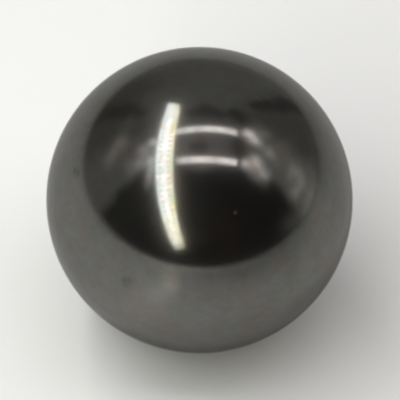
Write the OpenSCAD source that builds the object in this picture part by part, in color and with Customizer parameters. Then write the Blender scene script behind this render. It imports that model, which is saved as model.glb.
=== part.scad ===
// Steel ball: a loose bearing ball, one solid lapped sphere of hardened steel.
// The origin is the ball's centre, with +Z up.

/* [Ball] */
// Diameter over the finished surface, half an inch
ball_d = 12.7; // [1:0.05:50]

/* [Hidden] */
// Segments round the equator in a drawn preview
$fn = 180;

// One piece, ground and lapped to the same diameter in every direction
module ball() {
    color("dimgray")
        sphere(d = ball_d);
}

ball();
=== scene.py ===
"""Steel ball: the polished piece, its studio and its camera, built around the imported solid."""

import math
import random
from collections import namedtuple
from functools import reduce
from operator import add

import bmesh
import bpy
from bpy.props import FloatProperty, FloatVectorProperty, IntProperty, PointerProperty
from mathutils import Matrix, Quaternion, Vector


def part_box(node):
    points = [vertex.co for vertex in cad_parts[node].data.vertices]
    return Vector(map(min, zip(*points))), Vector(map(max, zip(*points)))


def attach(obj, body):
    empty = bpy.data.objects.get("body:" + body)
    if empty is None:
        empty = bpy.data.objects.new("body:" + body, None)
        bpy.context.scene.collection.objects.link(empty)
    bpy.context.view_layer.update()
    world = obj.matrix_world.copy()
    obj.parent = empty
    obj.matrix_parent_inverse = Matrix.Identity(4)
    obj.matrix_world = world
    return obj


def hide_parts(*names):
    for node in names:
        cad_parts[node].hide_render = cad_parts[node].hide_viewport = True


bl_info = {
    "name": "Steel Ball",
    "version": (1, 0, 0),
    "blender": (4, 5, 0),
    "location": "View3D > Sidebar > Steel Ball",
    "description": "Makes a polished steel ball with its handling marks, and a small studio for it",
    "category": "Add Mesh",
}

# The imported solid
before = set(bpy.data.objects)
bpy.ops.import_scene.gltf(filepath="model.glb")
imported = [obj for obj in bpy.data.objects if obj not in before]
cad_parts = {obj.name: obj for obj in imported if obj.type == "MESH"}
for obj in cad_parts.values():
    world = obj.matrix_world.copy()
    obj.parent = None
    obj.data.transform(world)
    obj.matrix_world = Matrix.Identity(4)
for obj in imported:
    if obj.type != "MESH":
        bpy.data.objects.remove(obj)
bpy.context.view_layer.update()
LOW_CORNER, HIGH_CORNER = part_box("ball")
BALL_CENTRE = (LOW_CORNER + HIGH_CORNER) / 2
BALL_DIAMETER = HIGH_CORNER.z - LOW_CORNER.z

# Units in metres, the middle of what runs from 0 to 1, and the colour of what gives no light back
MILLIMETRE = 1e-3
MICROMETRE = 1e-6
MIDDLE = 0.5
BLACK = (0.0, 0.0, 0.0, 1.0)

# The ball's place in the picture, in pixels, the camera's sensor and its near clip as a share of its distance
FRAME_PIXELS = 400
BALL_RADIUS_PIXELS = 153.4
BALL_COLUMN = 199.5
BALL_ROW = 200.1
SENSOR_WIDTH_MM = 36
NEAR_CLIP_SHARE = 0.01

# Azimuth runs from the camera's own side, positive to its right, and elevation from the horizon, in degrees
HALF_TURN = 180
CAMERA_ELEVATION = 50
CAMERA_ROLL = 4.3

# A small mark that handling has left: where it is, how wide and deep, and how much it darkens and dulls
Mark = namedtuple("Mark", "azimuth elevation width_mm depth_mm dark dull")
CHIP_WIDE = Mark(-26.7, 10.9, 0.54, 0.004, 0.48, 0.2)
CHIP_SIDE = Mark(-24.9, 11.9, 0.50, 0.003, 0.42, 0.1)
CHIP_TIP = Mark(-26.2, 8.8, 0.30, 0.002, 0.42, 0.1)
CHIP_TAIL = Mark(-22.5, 13.0, 0.36, 0.002, 0.24, 0.1)
SPOT = Mark(-71.9, 31.0, 0.50, 0.004, 0.55, 0.2)
SPOT_EDGE = Mark(-69.8, 32.1, 0.48, 0.003, 0.50, 0.2)
SPECK = Mark(19.3, 44.7, 0.32, 0.003, 0.0, 0.6)
PLACED_MARKS = [CHIP_WIDE, CHIP_SIDE, CHIP_TIP, CHIP_TAIL, SPOT, SPOT_EDGE, SPECK]

# Finer marks round the rest of the ball, which keep this many degrees clear of the camera's side
SCATTER_SEED = 7
SCATTER_KEEP_CLEAR = 62
SCATTER_WIDTHS_MM = (0.14, 0.34)
SCATTER_WIDTH_TO_DEPTH = 100
SCATTER_DARKS = (0.2, 0.6)
SCATTER_DULL = 0.3

# A layer of film on the steel: how its noise is turned, in degrees, how fine and how rough the noise is,
# the noise levels at which the film is thin and thick, and its share of all the film
Film = namedtuple("Film", "turn fineness roughness thin thick share")
FILM_PATCHES = Film((20, 35, 0), 2.4, 0.5, 0.34, 0.66, 0.30)
FILM_SMEARS = Film((0, 50, 70), 7.0, 0.6, 0.36, 0.64, 0.35)
FILM_MOTTLE = Film((40, 10, 30), 17.0, 0.6, 0.36, 0.64, 0.35)
FILM_LAYERS = [FILM_PATCHES, FILM_SMEARS, FILM_MOTTLE]
OIL = Film((65, 0, 15), 8.0, 0.5, 0.40, 0.60, 1.0)
FILM_DETAIL = 3.0

# Sets of hairline scratches: which way each runs, in degrees, how far it is drawn out,
# the noise levels between which a scratch shows, and how deep it is beside the grain that lapping leaves
HAIRLINE_TURNS = [(15, 0, 25), (70, 20, -40), (-35, 60, 10)]
HAIRLINE_STRETCH = (1.2, 46.0, 46.0)
HAIRLINE_LEVELS = (0.70, 0.76)
HAIRLINE_DEPTH = 0.3
GRAIN_FINENESS = 90.0
GRAIN_HEIGHT = 0.05

# What the film, the hairlines and the dull marks add to the roughness of the polish, and that of the haze
FILM_ROUGHNESS = 0.035
HAIRLINE_ROUGHNESS = 0.03
DULL_ROUGHNESS = 0.6
HAZE_ROUGHNESS = 0.28

# The round floor's edge, its faint unevenness, and a soft shadow painted into its colour in front of the
# ball:
# the painted shadow's middle and reach, in metres from the ball, and the shares of the floor's colour that
# are left in both
FLOOR_SEGMENTS = 96
FLOOR_FINENESS = 60.0
FLOOR_DETAIL = 3.0
UNEVEN_SHADE = 0.96
PAINTED_SHADOW_MIDDLE = (0.024, -0.050)
PAINTED_SHADOW_REACH = (0.036, 0.036)
PAINTED_SHADOW_SHADE = 0.70

# The bar lamp's two ends, in metres from the ball's centre, how far its high end is cut aslant,
# how far it bows outwards, and how far its high end flares outwards and how fast that fades along it
BAR_HIGH_END = Vector((-0.0650, 0.1714, 0.2133))
BAR_LOW_END = Vector((-0.0645, -0.2634, 0.0601))
BAR_SLANT = 0.020
BAR_BOW = 0.0042
BAR_FLARE = 0.0075
BAR_FLARE_FADE = 12
BAR_STEPS = 16

# The bow follows share ** 2 * (1 - share), which is highest at two thirds of the bar's length
BOW_PEAK = 4 / 27

# The bar lamp's colours, and where they lie along and across its face, from 0 to 1
BAR_COOL = (0.90, 0.97, 1.0)
BAR_WHITE = (1.0, 1.0, 1.0)
BAR_WARM = (1.0, 0.95, 0.66)
BAR_AMBER = (1.0, 0.90, 0.30)
BAR_COOL_EDGE = (0.0, 0.4)
BAR_WARM_EDGE = (0.62, 1.0)
BAR_WARM_END = (0.64, 0.74)
BAR_END_WARMTH = 0.45
BAR_AMBER_SPOTS = [(0.24, 0.29), (0.63, 0.68)]
BAR_AMBER_SOFTNESS = 0.03

# The bar lamp's rows and columns of small cells, the gaps between them, and what dims it
BAR_ROWS = 40
BAR_COLUMNS = 2
BAR_ROW_GAP = (0.0, 0.9)
BAR_COLUMN_GAP = (-0.3, 0.8)
BAR_GAP_DIMS = 0.8
BAR_DIM_END = (0.90, 0.95)
BAR_END_DIMS = 0.45
BAR_UNEVEN_STRETCH = (44.0, 3.0, 0.0)
BAR_UNEVENNESS = 0.6

# The tubes overhead: their ends as shares of their height above the ball, their share of the level,
# and how far along them a fitting dims them
Tube = namedtuple("Tube", "right_end left_end level fitting")
TUBES = {
    "tube_front": Tube((0.515, -0.169), (-0.30, -0.174), 0.98, 0.40),
    "tube_back": Tube((0.484, 0.287), (-0.30, 0.246), 0.97, 0.62),
}

# The tubes' width as a share of their height, their colours from the middle to the edge, and what dims them
TUBE_WIDTH = 0.088
TUBE_WHITE = (1.0, 0.975, 0.965)
TUBE_ROSE = (1.0, 0.93, 0.92)
TUBE_EDGE = (0.2, 0.5)
TUBE_FITTING_REACH = 0.05
TUBE_FITTING_DIMS = 0.3
TUBE_FAR_END = (0.55, 1.2)
TUBE_END_DIMS = 0.4

# The tent's folds: how fine, detailed and rough they are, and how many degrees they shift what hangs in it
FOLD_FINENESS = 5.0
FOLD_DETAIL = 3.0
FOLD_ROUGHNESS = 0.55
FOLD_ACROSS = 12
FOLD_ABOVE = 10

# A cloth of the tent: the azimuths and elevations that it spans, how soft its edge is, and its colour
Cloth = namedtuple("Cloth", "left right low high edge colour")
TENT_CLOTHS = [
    Cloth(-200, 200, 74, 120, 5, (0.35, 0.330, 0.320)),
    Cloth(120, 200, 57, 73, 5, (0.225, 0.215, 0.205)),
    Cloth(-200, -158, 57, 73, 5, (0.235, 0.230, 0.218)),
    Cloth(-160, -112, -20, 28, 10, (0.195, 0.185, 0.172)),
    Cloth(-141, -131, -20, 40, 5, (0.108, 0.103, 0.092)),
    Cloth(-131, -112, 36, 48, 5, (0.205, 0.200, 0.190)),
    Cloth(108, 145, -20, 58, 9, (0.200, 0.197, 0.185)),
    Cloth(138, 145, -20, 36, 2.5, (0.105, 0.098, 0.094)),
    Cloth(126, 152, 47.5, 56.5, 4, (0.080, 0.075, 0.071)),
    Cloth(148, 200, 54.5, 63.5, 4, (0.115, 0.108, 0.104)),
    Cloth(-200, -160, 55.5, 64.5, 4, (0.125, 0.117, 0.113)),
    Cloth(-200, 200, 83.5, 130, 2.5, (0.17, 0.16, 0.155)),
    Cloth(80, 116, 57, 67, 4, (0.095, 0.086, 0.082)),
    Cloth(-76, 68.5, -20, 72.5, 5, (0.038, 0.035, 0.033)),
    Cloth(58, 79, -20, 33.5, 5, (0.034, 0.032, 0.030)),
]

# A soft glow on the tent: its middle, how far it reaches to each side and above, and its colour.
# The two at the back are one glow, because azimuth jumps there from one end of its range to the other.
Glow = namedtuple("Glow", "azimuth elevation half_width half_height colour")
TENT_GLOWS = [
    Glow(76.5, 54.8, 5, 3.5, (3.2, 3.13, 3.08)),
    Glow(85.5, 49.3, 6.5, 4.6, (2.35, 2.3, 2.24)),
    Glow(80, 42.3, 4.5, 4.4, (1.3, 1.3, 1.3)),
    Glow(81, 37.5, 4, 3.2, (0.24, 0.235, 0.23)),
    Glow(72, 45, 5, 5, (0.26, 0.27, 0.27)),
    Glow(117, 52.8, 4.6, 3.7, (4.0, 3.9, 3.84)),
    Glow(109, 50.2, 5, 3.7, (2.55, 2.48, 2.43)),
    Glow(117.5, 43.5, 7, 6, (0.45, 0.44, 0.42)),
    Glow(101.5, 41.5, 5, 4.5, (0.75, 0.71, 0.69)),
    Glow(98, 34, 13, 9, (0.20, 0.185, 0.175)),
    Glow(110, 26, 6, 6, (0.10, 0.093, 0.088)),
    Glow(93, 11.5, 6, 5, (0.50, 0.52, 0.42)),
    Glow(84, 13, 4.5, 5, (0.50, 0.49, 0.46)),
    Glow(99, 17, 5, 7, (0.44, 0.47, 0.44)),
    Glow(93, 22, 8, 3.5, (0.36, 0.34, 0.31)),
    Glow(91, -1, 13, 6, (0.40, 0.40, 0.39)),
    Glow(70, 3, 9, 7, (0.15, 0.15, 0.14)),
    Glow(-106, 57.5, 4.5, 3.2, (2.6, 2.6, 2.75)),
    Glow(-95, 54, 8, 4.5, (0.72, 0.72, 0.76)),
    Glow(-99, 49, 6, 4.2, (0.52, 0.52, 0.57)),
    Glow(-86, 46.5, 6, 5, (0.88, 0.86, 0.89)),
    Glow(-86, 38, 7, 4, (0.28, 0.27, 0.27)),
    Glow(-83.5, 54, 4.5, 3.4, (2.0, 2.0, 2.0)),
    Glow(-74, 52, 6.5, 3.2, (1.75, 1.75, 1.71)),
    Glow(-66, 48.5, 5, 3.5, (1.4, 1.4, 1.38)),
    Glow(-61, 44, 3, 3, (0.8, 0.8, 0.8)),
    Glow(-111, 32, 6, 6, (0.36, 0.35, 0.34)),
    Glow(-103, 26, 6, 7, (0.33, 0.33, 0.32)),
    Glow(HALF_TURN, 0, 60, 4, (0.06, 0.06, 0.058)),
    Glow(-HALF_TURN, 0, 60, 4, (0.06, 0.06, 0.058)),
    Glow(-63, 20, 14, 18, (0.022, 0.027, 0.021)),
    Glow(3, 46, 11, 18, (0.012, 0.019, 0.024)),
    Glow(22, 26, 12, 22, (0.024, 0.013, 0.006)),
    Glow(0, 22, 9, 5, (0.035, 0.026, 0.018)),
]


class Value:
    """One output of a node. Python's operators on it add Math nodes."""

    def __init__(self, shader, socket):
        self.shader = shader
        self.socket = socket

    def __add__(self, other):
        return self.shader.math("ADD", self, other)

    __radd__ = __add__

    def __sub__(self, other):
        return self.shader.math("SUBTRACT", self, other)

    def __rsub__(self, other):
        return self.shader.math("SUBTRACT", other, self)

    def __mul__(self, other):
        return self.shader.math("MULTIPLY", self, other)

    __rmul__ = __mul__

    def __neg__(self):
        return self.shader.math("MULTIPLY", self, -1.0)


class Shader:
    """The node tree of a material or world, filled by calls and expressions."""

    def __init__(self, owner):
        owner.use_nodes = True
        self.tree = owner.node_tree
        self.tree.nodes.clear()

    def node(self, kind, settings=None, sockets=None, output=0):
        """Adds one node: first its settings, then the values or links of its sockets."""
        made = self.tree.nodes.new(kind)
        for name, setting in (settings or {}).items():
            setattr(made, name, setting)
        for name, given in (sockets or {}).items():
            socket = self.find(made.inputs, name)
            if isinstance(given, Value):
                self.tree.links.new(given.socket, socket)
            else:
                socket.default_value = given
        if not made.outputs:
            return None
        return Value(self, self.find(made.outputs, output))

    @staticmethod
    def find(sockets, name):
        """A socket by its place, or by its name among those that the node's settings leave in use."""
        if isinstance(name, int):
            return sockets[name]
        return next(socket for socket in sockets if socket.name == name and socket.enabled)

    def math(self, operation, first, second=0.0):
        return self.node("ShaderNodeMath", {"operation": operation}, {0: first, 1: second})

    def rise(self, value, start, end):
        """0 below start and 1 above end, with a smooth step between."""
        sockets = {"Value": value, "From Min": start, "From Max": end}
        return self.node("ShaderNodeMapRange", {"interpolation_type": "SMOOTHSTEP"}, sockets)

    def window(self, value, low, high, edge):
        """1 between low and high, with soft edges."""
        opens = self.rise(value, low - edge, low + edge)
        closes = self.rise(value, high - edge, high + edge)
        return opens * (1 - closes)

    def spot(self, places, middle, reach):
        """1 at the middle of a soft spot in two directions, fading away past its reach in each."""
        across, along = ((place - centre) * (1 / span) for place, centre, span in zip(places, middle, reach))
        return self.math("POWER", math.e, -(across * across + along * along))

    def parts(self, vector, axes):
        """The parts of a vector along the named axes."""
        return [self.node("ShaderNodeSeparateXYZ", None, {0: vector}, axis) for axis in axes]

    def scale(self, vector, factor):
        """A vector made longer, by one factor or by one for each axis."""
        factors = (factor,) * 3 if isinstance(factor, float) else factor
        return self.node("ShaderNodeVectorMath", {"operation": "MULTIPLY"}, {0: vector, 1: factors})

    def turn(self, vector, angles):
        """A vector turned by Euler angles in degrees."""
        radians = tuple(math.radians(angle) for angle in angles)
        sockets = {"Vector": vector, "Rotation": radians}
        return self.node("ShaderNodeVectorRotate", {"rotation_type": "EULER_XYZ"}, sockets)

    def noise(self, vector, fineness, detail=2.0, roughness=0.5):
        sockets = {"Vector": vector, "Scale": fineness, "Detail": detail, "Roughness": roughness}
        return self.node("ShaderNodeTexNoise", None, sockets)

    def mix(self, factor, first, second, blend="MIX"):
        """A colour between two colours or, with ADD, the first with a share of the second as added light."""
        settings = {"data_type": "RGBA", "blend_type": blend}
        sockets = {0: factor, "A": self.opaque(first), "B": self.opaque(second)}
        return self.node("ShaderNodeMix", settings, sockets, "Result")

    @staticmethod
    def opaque(colour):
        return colour if isinstance(colour, Value) else (*colour, 1.0)

    def principled(self, sockets):
        return self.node("ShaderNodeBsdfPrincipled", None, sockets)

    def overlay(self, share, first, second):
        """One shading with a share of it given over to another."""
        return self.node("ShaderNodeMixShader", None, {0: share, 1: first, 2: second})

    def emission(self, colour, level):
        return self.node("ShaderNodeEmission", None, {"Color": colour, "Strength": level})

    def surface(self, shading, kind="ShaderNodeOutputMaterial"):
        self.node(kind, None, {"Surface": shading})


def heading(azimuth, elevation):
    """The unit vector of an azimuth and an elevation."""
    across = math.radians(azimuth)
    above = math.radians(elevation)
    level = math.cos(above)
    return Vector((level * math.sin(across), -level * math.cos(across), math.sin(above)))


def new_material(name):
    material = bpy.data.materials.new(name)
    return material, Shader(material)


def new_object(name, mesh, material):
    piece = bpy.data.objects.new(name, mesh)
    piece.data.materials.append(material)
    bpy.context.scene.collection.objects.link(piece)
    return piece


class BallSettings(bpy.types.PropertyGroup):
    """Sizes and colours of the polished ball."""

    diameter: FloatProperty(
        name="Diameter", description="Across the finished surface",
        default=BALL_DIAMETER, min=0.001, max=0.05, subtype="DISTANCE", unit="LENGTH")
    cells: IntProperty(
        name="Cells", description="Quads along each edge of the cube that is rounded into the ball",
        default=128, min=8, max=128)
    scattered_marks: IntProperty(
        name="Scattered Marks", description="Fine handling marks round the rest of the ball",
        default=14, min=0, max=60)
    steel: FloatVectorProperty(
        name="Steel", description="Colour of the clean polished steel",
        default=(0.36, 0.355, 0.347), min=0, max=1, subtype="COLOR")
    brown_film: FloatVectorProperty(
        name="Brown Film", description="Colour of the steel under a film left by handling",
        default=(0.315, 0.279, 0.252), min=0, max=1, subtype="COLOR")
    green_film: FloatVectorProperty(
        name="Green Film", description="Colour of the steel under a film of oil",
        default=(0.284, 0.303, 0.278), min=0, max=1, subtype="COLOR")
    pit: FloatVectorProperty(
        name="Pit", description="Colour of the steel in the small marks",
        default=(0.126, 0.118, 0.105), min=0, max=1, subtype="COLOR")
    haze: FloatVectorProperty(
        name="Haze", description="Colour of the faint haze round bright reflections",
        default=(0.205, 0.2, 0.185), min=0, max=1, subtype="COLOR")
    dark_film: FloatProperty(
        name="Dark Film", description="How much of the mirror image the dark film on the steel takes",
        default=0.642, min=0, max=1, subtype="FACTOR")
    haze_share: FloatProperty(
        name="Haze Share", description="How much of what the film takes comes back as haze",
        default=0.1636, min=0, max=1, subtype="FACTOR")
    polish: FloatProperty(
        name="Polish", description="Roughness of the polished surface",
        default=0.095, min=0, max=1, subtype="FACTOR")


class StageSettings(bpy.types.PropertyGroup):
    """Sizes, places and levels of the studio."""

    camera_distance: FloatProperty(
        name="Camera Distance", description="From the camera to the ball's centre",
        default=0.352, min=0.05, max=2, subtype="DISTANCE", unit="LENGTH")
    camera_elevation: FloatProperty(
        name="Camera Elevation", description="How far the camera looks down",
        default=math.radians(CAMERA_ELEVATION), min=0, max=math.pi / 2, subtype="ANGLE", unit="ROTATION")
    camera_roll: FloatProperty(
        name="Camera Roll", description="How far the camera leans aside, and the lamps and tent with it",
        default=math.radians(CAMERA_ROLL), min=-math.pi, max=math.pi, subtype="ANGLE", unit="ROTATION")
    floor_radius: FloatProperty(
        name="Floor Radius", description="Of the round floor",
        default=1.6, min=0.2, max=5, subtype="DISTANCE", unit="LENGTH")
    floor: FloatVectorProperty(
        name="Floor", description="Colour of the plain floor",
        default=(0.935, 0.94, 0.96), min=0, max=1, subtype="COLOR")
    tent: FloatVectorProperty(
        name="Tent", description="Colour of the tent round the ball",
        default=(0.295, 0.295, 0.280), min=0, max=1, subtype="COLOR")
    tent_level: FloatProperty(
        name="Tent Level", description="Brightness of the tent and its cloths",
        default=1.08, min=0, max=10)
    bar_width: FloatProperty(
        name="Bar Width", description="Across the bar lamp's face",
        default=0.0342, min=0.005, max=0.5, subtype="DISTANCE", unit="LENGTH")
    bar_level: FloatProperty(
        name="Bar Level", description="Brightness of the bar lamp, where 1 is white",
        default=8.7, min=0, max=50)
    tube_height: FloatProperty(
        name="Tube Height", description="From the ball up to the tube lamps",
        default=0.8, min=0.3, max=3, subtype="DISTANCE", unit="LENGTH")
    tube_level: FloatProperty(
        name="Tube Level", description="Brightness of the tube lamps, where 1 is white",
        default=5.8, min=0, max=50)


def handling_marks(count):
    """The placed marks, and fine ones scattered round the sides that those leave clear."""
    draw = random.Random(SCATTER_SEED)
    front = heading(0, CAMERA_ELEVATION)
    marks = list(PLACED_MARKS)
    while len(marks) < len(PLACED_MARKS) + count:
        azimuth = draw.uniform(-HALF_TURN, HALF_TURN)
        elevation = math.degrees(math.asin(draw.uniform(-1, 1)))
        width = draw.uniform(*SCATTER_WIDTHS_MM)
        depth = width / SCATTER_WIDTH_TO_DEPTH
        dark = draw.uniform(*SCATTER_DARKS)
        if math.degrees(heading(azimuth, elevation).angle(front)) > SCATTER_KEEP_CLEAR:
            marks.append(Mark(azimuth, elevation, width, depth, dark, SCATTER_DULL))
    return marks


def lapped_ball(radius, cells, marks):
    """A ball of even quads: a cube's grids pushed out to the radius, with each mark pressed in.

    How much the marks darken and dull the steel is kept on the mesh, as its attributes dark and dull."""
    grids = bmesh.new()
    bmesh.ops.create_cube(grids, size=2.0)
    bmesh.ops.subdivide_edges(grids, edges=grids.edges[:], cuts=cells - 1, use_grid_fill=True)
    dark = grids.verts.layers.float.new("dark")
    dull = grids.verts.layers.float.new("dull")
    eighth_turn = math.pi / 4
    centres = [heading(mark.azimuth, mark.elevation) for mark in marks]
    reaches = [mark.width_mm * MILLIMETRE / 2 / radius for mark in marks]
    for vertex in grids.verts:
        outward = Vector([math.tan(part * eighth_turn) for part in vertex.co]).normalized()
        sunk = 0.0
        for mark, centre, reach in zip(marks, centres, reaches):
            share = (outward - centre).length / reach
            if share < 1:
                fall = (1 - share ** 2) ** 2
                sunk = max(sunk, fall * mark.depth_mm * MILLIMETRE)
                vertex[dark] = max(vertex[dark], fall * mark.dark)
                vertex[dull] = max(vertex[dull], fall * mark.dull)
        vertex.co = outward * (radius - sunk)
    for face in grids.faces:
        face.smooth = True
    mesh = bpy.data.meshes.new("steel_ball")
    grids.to_mesh(mesh)
    grids.free()
    return mesh


def film_cover(shader, unit, film):
    """How thickly one layer of film covers the ball, from 0 to 1."""
    turned = shader.turn(unit, film.turn)
    noise = shader.noise(turned, film.fineness, FILM_DETAIL, film.roughness)
    return shader.rise(noise, film.thin, film.thick)


def hairline_set(shader, unit, angles):
    """One set of long thin scratches that run the same way."""
    stretched = shader.scale(shader.turn(unit, angles), HAIRLINE_STRETCH)
    return shader.rise(shader.noise(stretched, fineness=1.0, detail=1.0), *HAIRLINE_LEVELS)


def polished_steel(settings):
    """Lapped steel: a dark mirror with a patchy film, hairline scratches and small dull marks."""
    material, shader = new_material("polished_steel")
    place = shader.node("ShaderNodeTexCoord", output="Object")
    unit = shader.scale(place, 2 / settings.diameter)
    film = reduce(add, [film_cover(shader, unit, layer) * layer.share for layer in FILM_LAYERS])
    hairlines = reduce(add, [hairline_set(shader, unit, angles) for angles in HAIRLINE_TURNS])
    dark = shader.node("ShaderNodeAttribute", {"attribute_name": "dark"}, output="Fac")
    dull = shader.node("ShaderNodeAttribute", {"attribute_name": "dull"}, output="Fac")

    filmed = shader.mix(film_cover(shader, unit, OIL), settings.brown_film, settings.green_film)
    colour = shader.mix(dark, shader.mix(film, settings.steel, filmed), settings.pit)
    wear = film * FILM_ROUGHNESS + hairlines * HAIRLINE_ROUGHNESS + dull * DULL_ROUGHNESS
    roughness = settings.polish + wear
    height = shader.noise(unit, GRAIN_FINENESS) * GRAIN_HEIGHT - hairlines * HAIRLINE_DEPTH
    bump = {"Strength": 0.2, "Distance": MICROMETRE, "Height": height}
    finish = {"Metallic": 1.0, "Normal": shader.node("ShaderNodeBump", None, bump)}

    black = {"Base Color": BLACK, "Specular Tint": BLACK}
    pale = {"Base Color": (*settings.haze, 1.0), "Specular Tint": BLACK}
    mirror = shader.principled({**finish, "Base Color": colour, "Roughness": roughness})
    swallowed = shader.principled({**finish, **black, "Roughness": roughness})
    haze = shader.principled({**finish, **pale, "Roughness": HAZE_ROUGHNESS})
    taken = shader.overlay(settings.haze_share, swallowed, haze)

    # The mirror comes first, because an export takes its values from the first shader that it meets
    shader.surface(shader.overlay(settings.dark_film, mirror, taken))
    return material


def line_of_sight(settings):
    """The unit vector from the ball towards the camera."""
    return heading(0, math.degrees(settings.camera_elevation))


def camera_lean(settings):
    """The turn about the line of sight by which the camera, the lamps and the tent lean together."""
    return Quaternion(line_of_sight(settings), settings.camera_roll)


def pale_floor(settings):
    """Plain satin floor, with a faint unevenness and a soft shadow painted into its colour in front of the
    ball.
    """
    material, shader = new_material("pale_floor")
    place = shader.node("ShaderNodeTexCoord", output="Object")
    darker = tuple(part * UNEVEN_SHADE for part in settings.floor)
    # Painted shadow: the floor's colour is darkened in a soft spot in front of the ball, as if shade fell
    # there
    dim = tuple(part * PAINTED_SHADOW_SHADE for part in settings.floor)
    uneven = shader.mix(shader.noise(place, FLOOR_FINENESS, FLOOR_DETAIL), settings.floor, darker)
    painted_shadow = shader.spot(shader.parts(place, "XY"), PAINTED_SHADOW_MIDDLE, PAINTED_SHADOW_REACH)
    shader.surface(shader.principled({
        "Base Color": shader.mix(painted_shadow, uneven, dim),
        "Roughness": 0.32,
        "Specular IOR Level": 0.7,
    }))
    return material


def lamp_face(name):
    """A new lamp material, with the place along and across its face."""
    material, shader = new_material(name)
    return material, shader, shader.node("ShaderNodeUVMap", {"uv_map": "face"})


def bar_glow(settings):
    """Uneven rows of small cells, cool along one edge, and warm along the other and at the dim low end."""
    material, shader, place = lamp_face("bar_glow")
    along, across = shader.parts(place, "XY")
    tint = shader.mix(shader.rise(across, *BAR_COOL_EDGE), BAR_COOL, BAR_WHITE)
    tint = shader.mix(shader.rise(along, *BAR_WARM_END) * BAR_END_WARMTH, tint, BAR_WARM)
    spots = reduce(add, [shader.window(along, *ends, BAR_AMBER_SOFTNESS) for ends in BAR_AMBER_SPOTS])
    warm = shader.mix(spots, BAR_WARM, BAR_AMBER)
    tint = shader.mix(shader.rise(across, *BAR_WARM_EDGE), tint, warm)

    rows = shader.math("COSINE", along * (2 * math.pi * BAR_ROWS))
    columns = shader.math("COSINE", across * (2 * math.pi * BAR_COLUMNS))
    gaps = shader.rise(rows, *BAR_ROW_GAP) * shader.rise(-columns, *BAR_COLUMN_GAP)
    dimmed = shader.rise(along, *BAR_DIM_END)
    cells = shader.noise(shader.scale(place, BAR_UNEVEN_STRETCH), fineness=1.0, detail=1.0)
    uneven = 1 + (cells - MIDDLE) * BAR_UNEVENNESS
    colour = shader.scale(tint, uneven * (1 - gaps * BAR_GAP_DIMS) * (1 - dimmed * BAR_END_DIMS))
    shader.surface(shader.emission(colour, settings.bar_level))
    return material


def tube_glow(name, level, fitting):
    """A warm tube, dimmer at the fitting part way along it and towards its far end."""
    material, shader, place = lamp_face(name)
    along, across = shader.parts(place, "XY")
    off_middle = shader.math("ABSOLUTE", across - MIDDLE)
    tint = shader.mix(shader.rise(off_middle, *TUBE_EDGE), TUBE_WHITE, TUBE_ROSE)
    start, end = fitting - TUBE_FITTING_REACH, fitting + TUBE_FITTING_REACH
    fitted = shader.window(along, start, end, TUBE_FITTING_REACH) * TUBE_FITTING_DIMS
    dimmed = shader.rise(along, *TUBE_FAR_END) * TUBE_END_DIMS
    colour = shader.scale(tint, (1 - fitted) * (1 - dimmed))
    shader.surface(shader.emission(colour, level))
    return material


def ribbon(name, middle_line, side_line):
    """A strip of quads along middle_line, as wide as side_line says to either side, with its face mapped."""
    strip = bmesh.new()
    face_map = strip.loops.layers.uv.new("face")
    rows = [
        (strip.verts.new(middle - side), strip.verts.new(middle + side))
        for middle, side in zip(middle_line, side_line)
    ]
    last = len(rows) - 1
    for place in range(last):
        near, far = rows[place], rows[place + 1]
        quad = strip.faces.new((near[0], near[1], far[1], far[0]))
        corners = ((place, 0), (place, 1), (place + 1, 1), (place + 1, 0))
        for loop, (step, across) in zip(quad.loops, corners):
            loop[face_map].uv = (step / last, across)
    mesh = bpy.data.meshes.new(name)
    strip.to_mesh(mesh)
    strip.free()
    return mesh


def bar_lamp(settings):
    """A slightly bowed bar at the left, from high at the back to low in front, with its face to the ball."""
    lean = camera_lean(settings)
    high_end = lean @ BAR_HIGH_END
    low_end = lean @ BAR_LOW_END
    inward = high_end.cross(low_end).normalized()
    side = inward * settings.bar_width / 2
    middles = []
    for step in range(BAR_STEPS + 1):
        share = step / BAR_STEPS
        bow = BAR_BOW * share ** 2 * (1 - share) / BOW_PEAK
        flare = BAR_FLARE * (1 - share) ** BAR_FLARE_FADE
        middles.append(BALL_CENTRE + high_end.lerp(low_end, share) - inward * (bow + flare))
    sides = [side] * len(middles)
    sides[0] = side + (low_end - high_end) * BAR_SLANT
    return new_object("bar_lamp", ribbon("bar_lamp", middles, sides), bar_glow(settings))


def tube_lamps(settings):
    """Two tubes overhead, side by side."""
    lean = camera_lean(settings)
    side = lean @ Vector((0, settings.tube_height * TUBE_WIDTH / 2, 0))
    lamps = []
    for name, tube in TUBES.items():
        ends = (tube.right_end, tube.left_end)
        middles = [BALL_CENTRE + lean @ Vector((*end, 1.0)) * settings.tube_height for end in ends]
        glow = tube_glow(f"{name}_glow", settings.tube_level * tube.level, tube.fitting)
        lamps.append(new_object(name, ribbon(name, middles, [side, side]), glow))
    return lamps


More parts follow.
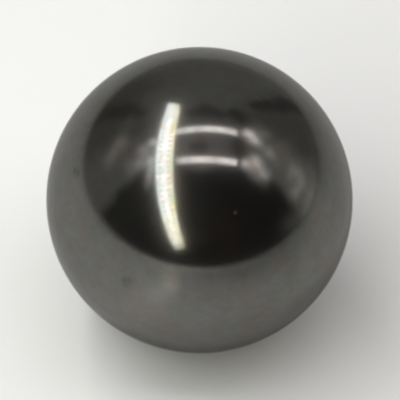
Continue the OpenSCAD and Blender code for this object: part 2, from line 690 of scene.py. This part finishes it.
def studio_tent(settings):
    """A dim tent all round, with darker and paler cloths hung in it and soft glows on them."""
    world = bpy.data.worlds.new("studio_tent")
    shader = Shader(world)
    level_direction = shader.node("ShaderNodeTexCoord", output="Generated")
    axis, angle = camera_lean(settings).to_axis_angle()
    sockets = {"Vector": level_direction, "Axis": axis, "Angle": -angle}
    direction = shader.node("ShaderNodeVectorRotate", {"rotation_type": "AXIS_ANGLE"}, sockets)
    x, y, z = shader.parts(direction, "XYZ")
    folds = shader.noise(direction, FOLD_FINENESS, FOLD_DETAIL, FOLD_ROUGHNESS) - MIDDLE
    degrees = HALF_TURN / math.pi
    azimuth = shader.math("ARCTAN2", x, -y) * degrees + folds * FOLD_ACROSS
    elevation = shader.math("ARCSINE", z) * degrees + folds * FOLD_ABOVE
    colour = settings.tent
    for cloth in TENT_CLOTHS:
        across = shader.window(azimuth, cloth.left, cloth.right, cloth.edge)
        above = shader.window(elevation, cloth.low, cloth.high, cloth.edge)
        colour = shader.mix(across * above, colour, cloth.colour)
    for glow in TENT_GLOWS:
        middle = (glow.azimuth, glow.elevation)
        reach = (glow.half_width, glow.half_height)
        strength = shader.spot((azimuth, elevation), middle, reach)
        colour = shader.mix(strength, colour, glow.colour, "ADD")
    light = shader.node("ShaderNodeBackground", None, {"Color": colour, "Strength": settings.tent_level})
    shader.surface(light, "ShaderNodeOutputWorld")
    bpy.context.scene.world = world


def round_floor(settings):
    """A wide round floor that the ball lies on."""
    disc = bmesh.new()
    bmesh.ops.create_circle(disc, cap_ends=True, segments=FLOOR_SEGMENTS, radius=settings.floor_radius)
    mesh = bpy.data.meshes.new("floor")
    disc.to_mesh(mesh)
    disc.free()
    floor = new_object("floor", mesh, pale_floor(settings))
    floor.location = (BALL_CENTRE.x, BALL_CENTRE.y, LOW_CORNER.z)
    return floor


def long_lens_camera(settings):
    """A camera far enough off that the ball's outline is close to a true circle."""
    lens = bpy.data.cameras.new("camera")
    camera = bpy.data.objects.new("camera", lens)
    bpy.context.scene.collection.objects.link(camera)
    towards = line_of_sight(settings)
    camera.location = BALL_CENTRE + settings.camera_distance * towards
    camera.rotation_euler = (camera_lean(settings) @ towards.to_track_quat("Z", "Y")).to_euler()
    half_angle = math.asin(BALL_DIAMETER / 2 / settings.camera_distance)
    lens.sensor_width = SENSOR_WIDTH_MM
    lens.lens = SENSOR_WIDTH_MM * BALL_RADIUS_PIXELS / FRAME_PIXELS / math.tan(half_angle)
    lens.shift_x = MIDDLE - BALL_COLUMN / FRAME_PIXELS
    lens.shift_y = BALL_ROW / FRAME_PIXELS - MIDDLE
    lens.clip_start = settings.camera_distance * NEAR_CLIP_SHARE
    lens.clip_end = settings.camera_distance + 2 * settings.floor_radius
    bpy.context.scene.camera = camera


class STEELBALL_OT_make_ball(bpy.types.Operator):
    """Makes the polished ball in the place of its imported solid"""

    bl_idname = "steelball.make_ball"
    bl_label = "Make Ball"
    bl_options = {"REGISTER", "UNDO"}

    def execute(self, context):
        settings = context.scene.steel_ball
        marks = handling_marks(settings.scattered_marks)
        mesh = lapped_ball(settings.diameter / 2, settings.cells, marks)
        ball = new_object("steel_ball", mesh, polished_steel(settings))
        ball.location = BALL_CENTRE
        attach(ball, "root")
        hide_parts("ball")
        return {"FINISHED"}


class STEELBALL_OT_make_stage(bpy.types.Operator):
    """Makes the floor, the tent, the lamps and the camera"""

    bl_idname = "steelball.make_stage"
    bl_label = "Make Stage"
    bl_options = {"REGISTER", "UNDO"}

    def execute(self, context):
        settings = context.scene.steel_ball_stage
        round_floor(settings)
        bar_lamp(settings)
        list(tube_lamps(settings))
        studio_tent(settings)
        long_lens_camera(settings)
        context.scene.view_settings.view_transform = "Standard"
        return {"FINISHED"}


class STEELBALL_PT_sidebar(bpy.types.Panel):
    """Lists the ball's and the stage's settings and the buttons that make them"""

    bl_idname = "STEELBALL_PT_sidebar"
    bl_label = "Steel Ball"
    bl_space_type = "VIEW_3D"
    bl_region_type = "UI"
    bl_category = "Steel Ball"

    def draw(self, context):
        groups = (
            (context.scene.steel_ball, STEELBALL_OT_make_ball),
            (context.scene.steel_ball_stage, STEELBALL_OT_make_stage),
        )
        for settings, operator in groups:
            column = self.layout.column(align=True)
            for name in settings.__annotations__:
                column.prop(settings, name)
            column.operator(operator.bl_idname)


CLASSES = (
    BallSettings,
    StageSettings,
    STEELBALL_OT_make_ball,
    STEELBALL_OT_make_stage,
    STEELBALL_PT_sidebar,
)


def register():
    for kind in CLASSES:
        bpy.utils.register_class(kind)
    bpy.types.Scene.steel_ball = PointerProperty(type=BallSettings)
    bpy.types.Scene.steel_ball_stage = PointerProperty(type=StageSettings)


def unregister():
    del bpy.types.Scene.steel_ball_stage
    del bpy.types.Scene.steel_ball
    for kind in reversed(CLASSES):
        bpy.utils.unregister_class(kind)


def main():
    register()
    bpy.ops.steelball.make_ball()
    bpy.ops.steelball.make_stage()


if __name__ == "__main__":
    main()
